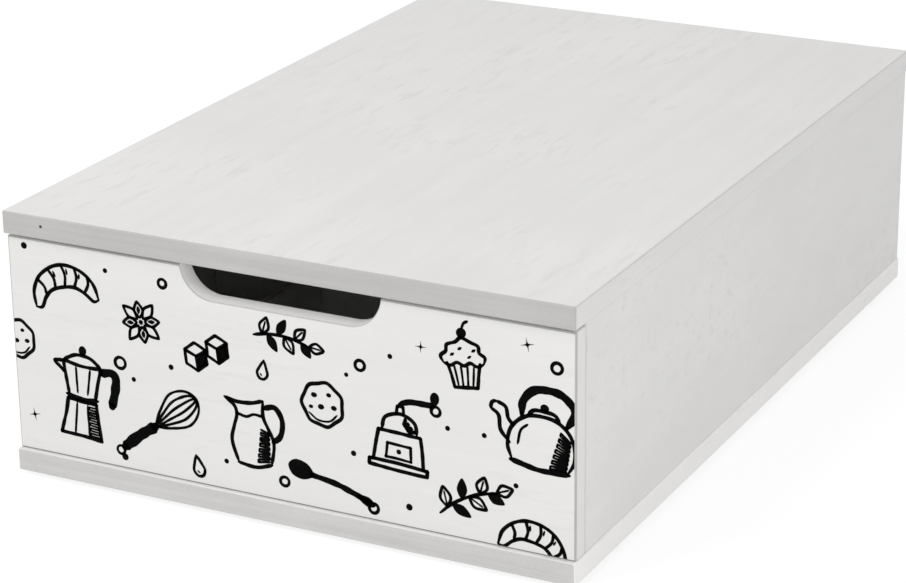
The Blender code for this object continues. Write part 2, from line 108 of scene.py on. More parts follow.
# Boards
JOINT_GAP = 0.0003
JOINT_FILL = 0.00029  # how far a glued board reaches over the clearance of its joint
CUT_OVERRUN = 0.004  # how far a cutter reaches out of its board
BOARD_ARRIS = 0.0004
OUTER_ARRIS = 0.0005  # round the top panel's upper face
MOUTH_ARRIS = 0.0009  # at the front ends of the side panels
LEDGE_ARRIS = 0.0009  # the bottom panel's upper edges beside the side panels
GLUED_ARRIS = 0.00002
ARRIS_SEGMENTS = 4
SHEET_ARRIS = 0.0002
SHEET_SEGMENTS = 2
SHARP_EDGE = math.radians(35)
FACE_ALONG = 0.999  # how squarely a face looks along an axis to count as a board's face
FACE_ACROSS = 1 - FACE_ALONG  # below this it looks across the axis
ARRIS_ALONG = 0.2  # how far an arris looks towards a side to be finished as that side's own

# Drawer front
FRONT_ARRIS = 0.0006
NOTCH_ARRIS = 0.00035
FOOT_ARRIS = 0.00025
FRONT_REACH = 0.00022  # how far the front hangs down into its clearance over the bottom panel
NOTCH_WIDTH = 0.074
NOTCH_DEPTH = 0.011
NOTCH_CORNER_RADIUS = 0.012  # more than the notch's depth, so its sides lean a little
NOTCH_CORNER_STEPS = 16

# Fasteners and pads
DOWEL_RADIUS = 0.002
SCREW_RADIUS = 0.0015
SCREW_CHAMFER = 0.0001
SCREW_HEAD_RIM = 0.0003
SCREW_HEAD_HEIGHT = 0.0017
SCREW_POINT = 0.003
RECESS_REACH = 0.0017  # half the length of each arm of the cross recess
RECESS_HALF_WIDTH = 0.00036
RECESS_DEPTH = 0.0012
FIRST_TURN = 0.4  # the angle that the first screw is driven to
TURN_STEP = 1.1
PIN_RADIUS = 0.0006
PIN_POINT = 0.0015
PIN_HEAD = 0.0006
PIN_DOME = ((1, 0.55), (1, 0.4), (0.86, 0.14), (0.5, 0.03), (0, 0))  # share of radius, mm down
PAD_FOOT = ((0.4, 0), (0.15, 0.08), (0, 0.35))  # mm inwards and mm from the end
PAD_HEAD = ((0, 0.25), (0.2, 0))
ROUND_STEPS = 48
HOLE_STEPS = 32

# The black speck that paints the shade of a pore in the top panel's front edge, in millimetres: its
# place from the corner, its profile
PORE_PLACE = (15.3, 0.30, -3.5)
PORE_PROFILE = ((0.03, 0), (0.66, 0.24), (0.48, 0.33), (0, 0.34))
PORE_STEPS = 14

# The print on the drawer front, in millimetres where nothing else is said
INK_LIFT = 0.00004  # how far the ink stands on the paint, in metres
PEN_STEP = 0.45
PEN_WEIGHT = 1.32  # how much heavier every stroke is than it is written
OUTLINE = 1.05  # the width of a stroke that gives no other
WOBBLE = 0.16  # how far the hand strays, how fast, and at which level of the noise
WOBBLE_PACE = 0.16
WOBBLE_LEVEL = 0.5
HAND_SEED = 1  # keeps the hand's unsteadiness the same in each run
SWELL = 0.2  # the same for the flow of the ink, as a share of a stroke's width
SWELL_PACE = 0.35
SWELL_LEVEL = 7
TAPER = 7  # how fast a stroke widens from its ends, in widths for its whole length
OVERSHOOT = 0.25  # how far a straight stroke runs past its ends
BOW = 0.012  # how far it bends, as a share of its length
CAP_STEPS = 8
DISC_STEPS = 12  # for each millimetre of radius
LEAST_AREA = 0.0004
WELD = 0.002


class Shader:
    """A material under construction: its nodes, and the coordinates that they share."""

    def __init__(self, name, specular=0.5, metallic=0.0):
        self.material = bpy.data.materials.new(name)
        self.material.use_nodes = True
        self.tree = self.material.node_tree
        self.surface = self.tree.nodes["Principled BSDF"]
        self.give("Specular IOR Level", specular)
        self.give("Metallic", metallic)
        self.place = self.node("ShaderNodeTexCoord").outputs["Object"]

    def join(self, source, target):
        """Links another node's output to the input, or sets the input to a plain value."""
        if isinstance(source, bpy.types.NodeSocket):
            self.tree.links.new(source, target)
        else:
            target.default_value = source

    def give(self, socket, source):
        self.join(source, self.surface.inputs[socket])

    def node(self, kind, inputs=None, **settings):
        """A new node with its settings, and with what goes into each input that is named."""
        made = self.tree.nodes.new(kind)
        for key, value in settings.items():
            setattr(made, key, value)
        for socket, source in (inputs or {}).items():
            self.join(source, made.inputs[socket])
        return made

    def texture(self, kind, scale, shift=(0, 0, 0), **inputs):
        """A texture on the object, whose scale is one number or one along each axis."""
        if isinstance(scale, (int, float)):
            scale = (scale, scale, scale)
        mapping = {"Vector": self.place, "Scale": scale, "Location": shift}
        place = self.node("ShaderNodeMapping", mapping).outputs["Vector"]
        return self.node(kind, {"Vector": place, "Scale": 1.0} | inputs)

    def noise(self, scale, detail=3.0, roughness=0.55, distortion=0.0, shift=(0, 0, 0)):
        """Noise from 0 to 1."""
        inputs = {"Detail": detail, "Roughness": roughness, "Distortion": distortion}
        return self.texture("ShaderNodeTexNoise", scale, shift, **inputs).outputs["Fac"]

    def cells(self, scale):
        """The distance to the middle of the nearest random cell."""
        return self.texture("ShaderNodeTexVoronoi", scale).outputs["Distance"]

    def ramp(self, source, low, high, to_low=0.0, to_high=1.0):
        """The source, from low to high, mapped onto to_low to to_high and held there beyond."""
        ends = {"From Min": low, "From Max": high, "To Min": to_low, "To Max": to_high}
        return self.node("ShaderNodeMapRange", {"Value": source} | ends).outputs["Result"]

    def math(self, operation, first, second):
        inputs = {0: first, 1: second}
        return self.node("ShaderNodeMath", inputs, operation=operation).outputs["Value"]

    def times(self, first, second):
        return self.math("MULTIPLY", first, second)

    def weigh(self, *terms):
        """The sum of (source, weight) terms."""
        total, *others = (self.times(source, weight) for source, weight in terms)
        for other in others:
            total = self.math("ADD", total, other)
        return total

    def blend(self, share, first, second):
        """From the first colour to the second one as the share goes from 0 to 1."""
        inputs = {"Factor": share, 6: first, 7: second}
        return self.node("ShaderNodeMix", inputs, data_type="RGBA").outputs[2]

    def tones(self, source, colour, first, second, span=TONE_SPAN):
        """From one share of the colour to another as the source goes over the span."""
        share = self.ramp(source, *span)
        return self.blend(share, shade(colour, first), shade(colour, second))

    def finish(self, colour, gloss, *bumps):
        """Feeds the surface and hands over the material.

        The gloss is noise and the roughness at its low and high end. The bumps are stacked, each
        one as (height, strength, distance).
        """
        source, low, high = gloss
        self.give("Base Color", colour)
        self.give("Roughness", self.ramp(source, *GLOSS_SPAN, low, high))
        below = {}
        for height, strength, distance in bumps:
            inputs = {"Height": height, "Strength": strength, "Distance": distance} | below
            below = {"Normal": self.node("ShaderNodeBump", inputs).outputs["Normal"]}
        self.give("Normal", below["Normal"])
        return self.material


def along(axis, run, across):
    """Noise scales that stretch a pattern along one axis."""
    return tuple(run if i == axis else across for i in range(3))


def shade(colour, share):
    """A share of the colour, opaque."""
    return (*(channel * share for channel in colour[:3]), 1.0)


def paint(name, grain, colour=PAINT, depth=1.0, run=8, across=120):
    """Satin paint over a board whose faint grain runs along one axis."""
    made = Shader(name, PAINT_SPECULAR)
    streaks = made.noise(along(grain, run, across), distortion=0.5)
    hairs = made.noise(along(grain, 3 * run, 6 * across), shift=(3, 1, 2))
    clouds = made.noise(15, shift=(7, 4, 1))
    peel = made.noise(1300, detail=2)
    tone = made.weigh((streaks, 0.4), (clouds, 0.4), (hairs, 0.2))
    base = made.tones(tone, colour, 1 - 0.03 * depth, 1 + 0.014 * depth, PAINT_SPAN)
    flecks = made.noise(along(grain, 8 * run, 3 * across), detail=2, shift=(5, 8, 3))
    dashes = made.times(made.ramp(flecks, 0.55, 0.70), made.ramp(clouds, 0.40, 0.60))
    base = made.blend(made.times(dashes, 0.42 * depth), base, shade(colour, 0.88))
    pores = made.ramp(made.cells(along(grain, 60, 420)), 0.035, 0.09, 1.0, 0.0)
    rare = made.ramp(made.noise(70, detail=1, shift=(1, 9, 5)), 0.64, 0.70)
    pits = made.times(pores, rare)
    return made.finish(
        made.blend(made.times(pits, 0.3), base, shade(colour, 0.5)),
        (made.weigh((clouds, 0.55), (hairs, 0.45)), 0.44, 0.58),
        (streaks, 0.16 * depth, 0.0002),
        (hairs, 0.22 * depth, 0.00007),
        (peel, 0.2, 0.00004),
        (made.math("SUBTRACT", 1.0, pits), 0.5, 0.0001),
    )


def sawn_edge(name, run, colour):
    """A board's narrow edge: the paint has sunk in, so it is greyer and rougher."""
    made = Shader(name, PAINT_SPECULAR)
    lines = made.noise(along(run, 14, 520), detail=4, distortion=0.2)
    grit = made.noise(760, shift=(2, 5, 3))
    clouds = made.noise(24, detail=2, shift=(4, 2, 8))
    tone = made.weigh((lines, 0.45), (clouds, 0.35), (grit, 0.2))
    shades = made.tones(tone, colour, 0.90, 1.05, PAINT_SPAN)
    return made.finish(shades, (grit, 0.55, 0.72), (lines, 0.35, 0.0002), (grit, 0.35, 0.00008))


def arris_wear_and_painted_light(name, colour):
    """The rounded edges in the given colour, with a little rubbed mottle; some of the colours paint
    light or shade onto them.
    """
    made = Shader(name, PAINT_SPECULAR)
    rub = made.noise(110, detail=5, roughness=0.65)
    peel = made.noise(1300, detail=2)
    shades = made.tones(rub, colour, 1, 0.92, (0.5, 0.72))
    return made.finish(shades, (rub, 0.46, 0.60), (rub, 0.2, 0.00012), (peel, 0.2, 0.00004))


def faced_sheet(name, grain):
    """The smooth white face of thin fibreboard."""
    made = Shader(name, specular=0.4)
    print_grain = made.noise(along(grain, 10, 260))
    clouds = made.noise(30, detail=2, shift=(5, 3, 2))
    peel = made.noise(1900, detail=2)
    shades = made.tones(made.weigh((print_grain, 0.5), (clouds, 0.5)), SHEET, 0.95, 1.02)
    bumps = (print_grain, 0.12, 0.0001), (peel, 0.2, 0.00003)
    return made.finish(shades, (clouds, 0.42, 0.55), *bumps)


def fibre_core(name):
    """The bare brown edge of thin fibreboard."""
    made = Shader(name, specular=0.2)
    fibres = made.noise((900, 900, 2600), detail=4)
    clouds = made.noise(60, shift=(2, 2, 9))
    shades = made.tones(made.weigh((fibres, 0.6), (clouds, 0.4)), CORE, 0.72, 1.15)
    return made.finish(shades, (fibres, 0.78, 0.95), (fibres, 0.5, 0.0001))


def beech(name, grain):
    made = Shader(name)
    rings = made.noise(along(grain, 30, 900), detail=4, distortion=0.6)
    flecks = made.ramp(made.cells(along(grain, 260, 1500)), 0.1, 0.25, 1.0, 0.0)
    base = made.tones(rings, BEECH, 0.82, 1.12)
    shades = made.blend(made.times(flecks, 0.4), base, shade(BEECH, 0.6))
    return made.finish(shades, (rings, 0.55, 0.72), (rings, 0.3, 0.0001))


def zinc(name):
    made = Shader(name, metallic=1.0)
    bloom = made.noise(420, detail=5, roughness=0.6)
    scratches = made.noise((2600, 300, 900), detail=2, shift=(1, 6, 2))
    shades = made.tones(bloom, ZINC, 0.82, 1.08)
    return made.finish(shades, (bloom, 0.26, 0.48), (scratches, 0.15, 0.00003))


def rubber_pad(name):
    made = Shader(name, specular=0.3)
    skin = made.noise(1500)
    dust = made.noise(210, detail=4, shift=(6, 1, 4))
    shades = made.tones(dust, PAD, 1, 2.6, (0.5, 0.75))
    return made.finish(shades, (skin, 0.72, 0.92), (skin, 0.5, 0.00008))


def printed_ink(name):
    """Black ink that the grain of the paint shows through a little."""
    made = Shader(name, specular=0.03)
    density = made.noise(260, detail=4, roughness=0.6)
    hairs = made.noise(along(0, 22, 900), shift=(3, 1, 2))
    shades = made.tones(density, INK, 1, 4, (0.55, 0.85))
    return made.finish(shades, (density, 0.42, 0.58), (hairs, 0.2, 0.00005))


def make_looks():
    """Every material, by its name."""
    made = [
        paint("paint_lengthwise", 1),
        paint("paint_top", 1, depth=1.5),
        paint("paint_side_panel", 1, depth=1.4, run=24, across=80),
        # Painted light: whiter paint on the bottom panel's sides and on the notch, which lie in
        # shade
        paint("painted_light_paint", 1, PAINTED_LIGHT_PAINT, 0.8),
        # Painted shade: darker paint on the bottom panel's upper face and its arrises
        paint("strip_painted_shade", 1, STRIP_PAINTED_SHADE, 0.8),
        paint("notch_painted_light", 0, PAINTED_LIGHT_PAINT, 0.6),
        paint("paint_across", 0),
        paint("paint_edge", 1, depth=0.7),
        sawn_edge("upper_front_edge", 0, EDGE_PAINT),
        # Lighter than the upper edge, to paint in light thrown up from the floor
        sawn_edge("lower_front_edge", 0, LOWER_EDGE_PAINT_AND_BOUNCE),
        arris_wear_and_painted_light("arris_wear_and_painted_light", shade(PAINT, 0.96)),
        # A darker line along the top panel's side arrises
        arris_wear_and_painted_light("side_arris", shade(PAINT, 0.85)),
        arris_wear_and_painted_light("front_arris", FRONT_ARRIS_DARK_PAINT),
        arris_wear_and_painted_light("notch_arris", NOTCH_ARRIS_PAINT),
        # Painted shade on the lower arrises of the bottom panel and the drawer front
        arris_wear_and_painted_light("low_arris_painted_shade", LOW_ARRIS_PAINTED_SHADE),
        arris_wear_and_painted_light("strip_arris_painted_shade", STRIP_PAINTED_SHADE),
        arris_wear_and_painted_light("painted_light_arris", PAINTED_LIGHT_PAINT),
        faced_sheet("faced_sheet", 1),
        faced_sheet("faced_sheet_upright", 2),
        fibre_core("fibre_core"),
        *(beech(f"beech_{name}", axis) for axis, name in enumerate("xyz")),
        zinc("zinc_plate"),
        rubber_pad("rubber_pad"),
        printed_ink("black_ink"),
    ]
    return {material.name: material for material in made}


def link(name, data):
    item = bpy.data.objects.new(name, data)
    bpy.context.scene.collection.objects.link(item)
    return item


def settle(item):
    """Works out the object's modifiers for good."""
    bpy.context.view_layer.update()
    graph = bpy.context.evaluated_depsgraph_get()
    mesh = bpy.data.meshes.new_from_object(item.evaluated_get(graph))
    item.modifiers.clear()
    item.data = mesh


def object_from(name, shape):
    mesh = bpy.data.meshes.new(name)
    shape.to_mesh(mesh)
    shape.free()
    return link(name, mesh)


def new_box(low, high):
    low, high = Vector(low), Vector(high)
    shape = bmesh.new()
    place = Matrix.Translation((low + high) / 2) @ Matrix.Diagonal((*(high - low), 1))
    bmesh.ops.create_cube(shape, size=1, matrix=place)
    return shape


def box_cutter(low, high):
    return object_from("cutter", new_box(low, high))


def turned(name, profile, place, direction, steps=ROUND_STEPS):
    """A closed solid turned round the direction, from (radius, height) points listed upwards."""
    shape = bmesh.new()
    turn = Vector(direction).to_track_quat("Z", "Y").to_matrix().to_4x4()
    to_place = Matrix.Translation(place) @ turn
    turns = [2 * math.pi * i / steps for i in range(steps)]
    rings = []
    for radius, height in profile:
        spots = [(0, 0, height)]
        if radius > 0:
            spots = [(radius * math.cos(a), radius * math.sin(a), height) for a in turns]
        rings.append([shape.verts.new(to_place @ Vector(spot)) for spot in spots])
    for lower, upper in zip(rings, rings[1:]):
        for i in range(steps):
            ahead = (i + 1) % steps
            corners = [lower[i % len(lower)], lower[ahead % len(lower)]]
            corners += [upper[ahead % len(upper)], upper[i % len(upper)]]
            shape.faces.new(list(dict.fromkeys(corners)))
    for cap in (rings[0][::-1], rings[-1]):
        if len(cap) > 1:
            shape.faces.new(cap)
    return object_from(name, shape)


def carve(item, cutters):
    """Cuts the cutters out of the object for good, and removes them."""
    for cutter in cutters:
        opening = item.modifiers.new("cut", "BOOLEAN")
        opening.operation = "DIFFERENCE"
        opening.solver = "EXACT"
        opening.object = cutter
    settle(item)
    for cutter in cutters:
        bpy.data.objects.remove(cutter, do_unlink=True)


def smooth(item):
    """Smooth shading that leaves the flat faces flat."""
    item.data.shade_smooth()
    item.data.set_sharp_from_angle(angle=SHARP_EDGE)
    weighting = item.modifiers.new("flat_faces", "WEIGHTED_NORMAL")
    weighting.keep_sharp = True
    settle(item)


def side_of(normal):
    """Which side of a box looks this way: its axis, and 1 or -1 along it."""
    axis = max(range(3), key=lambda i: abs(normal[i]))
    return axis, 1 if normal[axis] > 0 else -1


def rounded(name, shape, width_of, segments):
    """An object from the shape whose edges are rounded by what the function says for each."""
    shape.normal_update()
    shares = shape.edges.layers.float.new("bevel_weight_edge")
    widths = [width_of(edge) for edge in shape.edges]
    widest = max(widths)
    for edge, width in zip(shape.edges, widths):
        edge[shares] = width / widest
    item = object_from(name, shape)
    rounding = item.modifiers.new("arris", "BEVEL")
    rounding.limit_method = "WEIGHT"
    rounding.width = widest
    rounding.segments = segments
    settle(item)
    return item


def by_side(width, widths=None):
    """Rounds a box's edges by the width, or by what widths gives for the sides that meet there."""

    def width_of(edge):
        sides = {side_of(face.normal) for face in edge.link_faces}
        own = (own for wanted, own in (widths or {}).items() if sides.issuperset(wanted))
        return next(own, width)

    return width_of


def by_axis(faces, arris, sides=None, arrises=None):
    """Picks a material by where a face looks, for the sides and arrises that have their own."""

    def pick(face):
        side = side_of(face.normal)
        if abs(face.normal[side[0]]) > FACE_ALONG:
            return (sides or {}).get(side, faces)
        for (axis, sign), look in (arrises or {}).items():
            if face.normal[axis] * sign > ARRIS_ALONG:
                return look
        return arris

    return pick


def both_ways(axis, look):
    """The same look for the two sides that look along an axis."""
    return {(axis, -1): look, (axis, 1): look}


def dress(item, pick):
    """Gives each face the material that the function picks for it."""
    item.data.materials.clear()
    slots = {}
    for face in item.data.polygons:
        material = pick(face)
        if material.name not in slots:
            item.data.materials.append(material)
            slots[material.name] = len(slots)
        face.material_index = slots[material.name]


def seat(item, node, body):
    """The piece stands for the node, which is hidden, and moves with its body."""
    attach(item, body)
    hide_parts(node)


def finish_board(item, node, body, pick, cutters):
    carve(item, cutters)
    dress(item, pick)
    smooth(item)
    seat(item, node, body)


def board(node, body, pick, cutters, widths=None, reach=(0, 0, 0)):
    """Builds the node's board again, painted, with finer rounded edges and its own cuts."""
    low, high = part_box(node)
    shape = new_box(low - Vector(reach), high + Vector(reach))
    item = rounded(f"{node}_painted", shape, by_side(BOARD_ARRIS, widths), ARRIS_SEGMENTS)
    finish_board(item, node, body, pick, cutters)


def sheet_board(node, body, looks, thin, cutters=()):
    """Builds the node's sheet again, thin along one axis, with faced sides and bare edges."""
    faced = looks["faced_sheet" if thin == 2 else "faced_sheet_upright"]
    core = looks["fibre_core"]
    edges = both_ways((thin + 1) % 3, core) | both_ways((thin + 2) % 3, core)
    shape = new_box(*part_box(node))
    item = rounded(f"{node}_faced", shape, by_side(SHEET_ARRIS), SHEET_SEGMENTS)
    finish_board(item, node, body, by_axis(faced, core, edges), cutters)


def around(node):
    """The box round a node, one clearance larger all round."""
    low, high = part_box(node)
    step = Vector((JOINT_GAP, JOINT_GAP, JOINT_GAP))
    return low - step, high + step


def nodes_like(start):
    return sorted(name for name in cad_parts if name.startswith(start))


def turned_span(node, axis):
    """Where a turned piece's axis is, with 0 along it, then its radius and its two ends."""
    low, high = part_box(node)
    middle = (low + high) / 2
    middle[axis] = 0
    return middle, (high.x - low.x) / 2, low[axis], high[axis]


def turned_holes(start, axis, profile_of):
    """Cutters turned along the axis, one for each node whose name starts so."""
    cutters = []
    for node in nodes_like(start):
        middle, *span = turned_span(node, axis)
        cutters.append(turned("cutter", profile_of(*span), middle, AXES[axis], HOLE_STEPS))
    return cutters


def round_holes(start, axis, radius, overrun):
    wall = radius + JOINT_GAP

    def profile_of(_, low, high):
        return [(wall, low - JOINT_GAP), (wall, high + overrun)]

    return turned_holes(start, axis, profile_of)


def dowel_holes(start, axis):
    return round_holes(start, axis, DOWEL_RADIUS, JOINT_GAP)


def pin_holes(start):
    return round_holes(start, 1, PIN_RADIUS, CUT_OVERRUN)


def screw_holes(start):
    """The holes and countersinks of screws, which are driven upwards."""

    def profile_of(radius, low, high):
        head, shank = radius + JOINT_GAP, SCREW_RADIUS + JOINT_GAP
        rim, neck = low + SCREW_HEAD_RIM + JOINT_GAP, low + SCREW_HEAD_HEIGHT + JOINT_GAP
        return [(head, low - CUT_OVERRUN), (head, rim), (shank, neck), (shank, high + JOINT_GAP)]

    return turned_holes(start, 2, profile_of)


def rebate_cutter():
    low, high = around("back_panel")
    return box_cutter(low, (high.x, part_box("top_panel")[1].y + CUT_OVERRUN, high.z))


def groove_cutter():
    return box_cutter(*around("drawer_bottom"))


def build_top_panel(looks):
    ends = both_ways(1, looks["upper_front_edge"])
    arrises = ends | both_ways(0, looks["side_arris"])
    look = by_axis(looks["paint_top"], looks["arris_wear_and_painted_light"], ends, arrises)
    cutters = [rebate_cutter(), *dowel_holes("top_dowel_", 2), *pin_holes("back_pin_top_")]
    board("top_panel", "carcass", look, cutters, {((2, 1),): OUTER_ARRIS})


def build_bottom_panel(looks):
    # Painted light on the sides and their arrises, painted shade on the upper face and the lower
    # arris
    ends = both_ways(1, looks["lower_front_edge"])
    sides = ends | both_ways(0, looks["painted_light_paint"]) | {(2, 1): looks["strip_painted_shade"]}
    arrises = {(2, -1): looks["low_arris_painted_shade"]} | both_ways(0, looks["painted_light_arris"])
    look = by_axis(looks["paint_top"], looks["strip_arris_painted_shade"], sides, arrises)
    holes = [*screw_holes("bottom_screw_"), *pin_holes("back_pin_bottom_")]
    ledges = {((0, sign), (2, 1)): LEDGE_ARRIS for sign in (-1, 1)}
    board("bottom_panel", "carcass", look, [rebate_cutter(), *holes], ledges)


def build_sides_and_back(looks):
    glued = {((2, 1),): GLUED_ARRIS, ((2, -1),): GLUED_ARRIS, ((1, -1),): MOUTH_ARRIS}
    look = by_axis(looks["paint_side_panel"], looks["arris_wear_and_painted_light"])
    for side in ("left", "right"):
        cutters = [rebate_cutter(), *pin_holes(f"back_pin_{side}")]
        cutters += dowel_holes(f"top_dowel_{side}_", 2)
        cutters += screw_holes(f"bottom_screw_{side}_")
        board(f"side_panel_{side}", "carcass", look, cutters, glued, (0, 0, JOINT_FILL))
    sheet_board("back_panel", "carcass", looks, 1, pin_holes("back_pin_"))


def front_outline(low, high):
    """The drawer front's outline with its notch, from its lower left corner, anticlockwise."""
    half, bottom, radius = NOTCH_WIDTH / 2, high.z - NOTCH_DEPTH, NOTCH_CORNER_RADIUS
    foot = low.z - FRONT_REACH
    points = [(low.x, foot), (high.x, foot), (high.x, high.z)]
    lean = math.degrees(math.asin(1 - NOTCH_DEPTH / radius))
    for sign, first, last in ((1, -lean, -90), (-1, -90, lean - 180)):
        for i in range(NOTCH_CORNER_STEPS + 1):
            angle = math.radians(first + (last - first) * i / NOTCH_CORNER_STEPS)
            x = sign * (half - radius) + radius * math.cos(angle)
            points.append((x, bottom + radius + radius * math.sin(angle)))
    return [*points, (low.x, high.z)]


def front_prism(low, high):
    """The outline, as thick as the drawer front."""
    shape = bmesh.new()
    outline = front_outline(low, high)
    face = shape.faces.new([shape.verts.new((x, low.y, z)) for x, z in outline])
    for item in bmesh.ops.extrude_face_region(shape, geom=[face])["geom"]:
        if isinstance(item, bmesh.types.BMVert):
            item.co.y = high.y
    bmesh.ops.recalc_face_normals(shape, faces=shape.faces)
    return shape


def build_drawer_front(looks):
    low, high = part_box("drawer_front")
    notch_low = high.z - NOTCH_DEPTH - NOTCH_ARRIS

    def in_notch(point):
        return abs(point.x) < NOTCH_WIDTH / 2 + NOTCH_ARRIS and point.z > notch_low

    def at_foot(point):
        return point.z < low.z + FOOT_ARRIS

    def width_of(edge):
        middle = (edge.verts[0].co + edge.verts[1].co) / 2
        if edge.calc_face_angle(0) < SHARP_EDGE:
            return 0.0
        if at_foot(middle):
            return FOOT_ARRIS
        return NOTCH_ARRIS if in_notch(middle) else FRONT_ARRIS

    # Painted light on the notch's faces, painted shade at the foot, a dark line on the other
    # arrises
    def pick(face):
        forwards = abs(face.normal.y)
        if forwards > FACE_ALONG:
            return looks["paint_across"]
        if in_notch(face.center):
            return looks["notch_arris" if forwards > FACE_ACROSS else "notch_painted_light"]
        if forwards < FACE_ACROSS:
            return looks["paint_edge"]
        return looks["low_arris_painted_shade" if at_foot(face.center) else "front_arris"]

    item = rounded("drawer_front_painted", front_prism(low, high), width_of, ARRIS_SEGMENTS)
    cutters = [groove_cutter(), *dowel_holes("front_dowel_", 1)]
    finish_board(item, "drawer_front", "drawer", pick, cutters)


def build_drawer_box(looks):
    look = by_axis(looks["paint_lengthwise"], looks["arris_wear_and_painted_light"])
    for side in ("left", "right"):
        cutters = [groove_cutter(), *dowel_holes(f"front_dowel_{side}_", 1)]
        cutters += dowel_holes(f"back_dowel_{side}_", 0)
        board(f"drawer_side_{side}", "drawer", look, cutters, reach=(0, JOINT_FILL, 0))
    look = by_axis(looks["paint_across"], looks["arris_wear_and_painted_light"])
    cutters = [groove_cutter(), *dowel_holes("back_dowel_", 0)]
    board("drawer_back", "drawer", look, cutters, reach=(JOINT_FILL, 0, 0))
    sheet_board("drawer_bottom", "drawer", looks, 2)


def lap_slot(node, crossing, thin, upper):
    """The slot in a divider where another one crosses it, open at the top or at the bottom."""
    low, high = around(crossing)
    own_low, own_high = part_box(node)
    lap = (own_low.z + own_high.z) / 2
    low[thin], high[thin] = own_low[thin] - CUT_OVERRUN, own_high[thin] + CUT_OVERRUN
    if upper:
        low.z, high.z = lap - JOINT_GAP / 2, own_high.z + CUT_OVERRUN
    else:
        low.z, high.z = own_low.z - CUT_OVERRUN, lap + JOINT_GAP / 2
    return box_cutter(low, high)


def build_dividers(looks):
    lengthwise, across = nodes_like("divider_lengthwise_"), nodes_like("divider_cross_")
    for own, others, thin in ((lengthwise, across, 0), (across, lengthwise, 1)):
        for node in own:
            slots = [lap_slot(node, other, thin, own == lengthwise) for other in others]
            sheet_board(node, "drawer", looks, thin, slots)


def screw_profile(radius, low, high):
    return [
        (radius - SCREW_CHAMFER, low),
        (radius, low + SCREW_CHAMFER),
        (radius, low + SCREW_HEAD_RIM),
        (SCREW_RADIUS, low + SCREW_HEAD_HEIGHT),
        (SCREW_RADIUS, high - SCREW_POINT),
        (0, high),
    ]


def pin_profile(radius, low, high):
    dome = [(radius * share, high - down * MM) for share, down in PIN_DOME]
    return [(0, low), (PIN_RADIUS, low + PIN_POINT), (PIN_RADIUS, high - PIN_HEAD), *dome]


def pad_profile(radius, low, high):
    foot = [(radius - inwards * MM, low + up * MM) for inwards, up in PAD_FOOT]
    return [*foot, *((radius - inwards * MM, high - down * MM) for inwards, down in PAD_HEAD)]


def screw_recess(node, turn):
    """The two arms of the cross recess in a screw's head."""
    middle, _, low, _ = turned_span(node, 2)
    middle.z = low
    arms = []
    for x, y in ((RECESS_REACH, RECESS_HALF_WIDTH), (RECESS_HALF_WIDTH, RECESS_REACH)):
        reach = Vector((x, y, RECESS_DEPTH))
        arm = box_cutter(-reach, reach)
        arm.data.transform(Matrix.Rotation(turn, 4, "Z"))
        arm.data.transform(Matrix.Translation(middle))
        arms.append(arm)
    return arms


def finish_turned(item, look):
    item.data.materials.append(look)
    smooth(item)


def build_turned(node, suffix, axis, profile_of, look, cutters=()):
    """Turns the node's screw, pin or pad again."""
    middle, *span = turned_span(node, axis)
    item = turned(f"{node}_{suffix}", profile_of(*span), middle, AXES[axis])
    carve(item, cutters)
    finish_turned(item, look)
    seat(item, node, "carcass")


def build_fasteners(looks):
    """The screws, each driven to its own angle, the pins and the pads."""
    metal, rubber = looks["zinc_plate"], looks["rubber_pad"]
    for number, node in enumerate(nodes_like("bottom_screw_")):
        recess = screw_recess(node, FIRST_TURN + TURN_STEP * number)
        build_turned(node, "driven", 2, screw_profile, metal, recess)
    for node in nodes_like("back_pin_"):
        build_turned(node, "driven", 1, pin_profile, metal)
    for node in nodes_like("foot_"):
        build_turned(node, "pad", 2, pad_profile, rubber)


def dress_dowels(looks):
    """The dowels are hidden in the boards and keep their solids."""
    for start, axis in (("top_dowel_", "z"), ("front_dowel_", "y"), ("back_dowel_", "x")):
        for name in nodes_like(start):
            for material_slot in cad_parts[name].material_slots:
                material_slot.material = looks[f"beech_{axis}"]


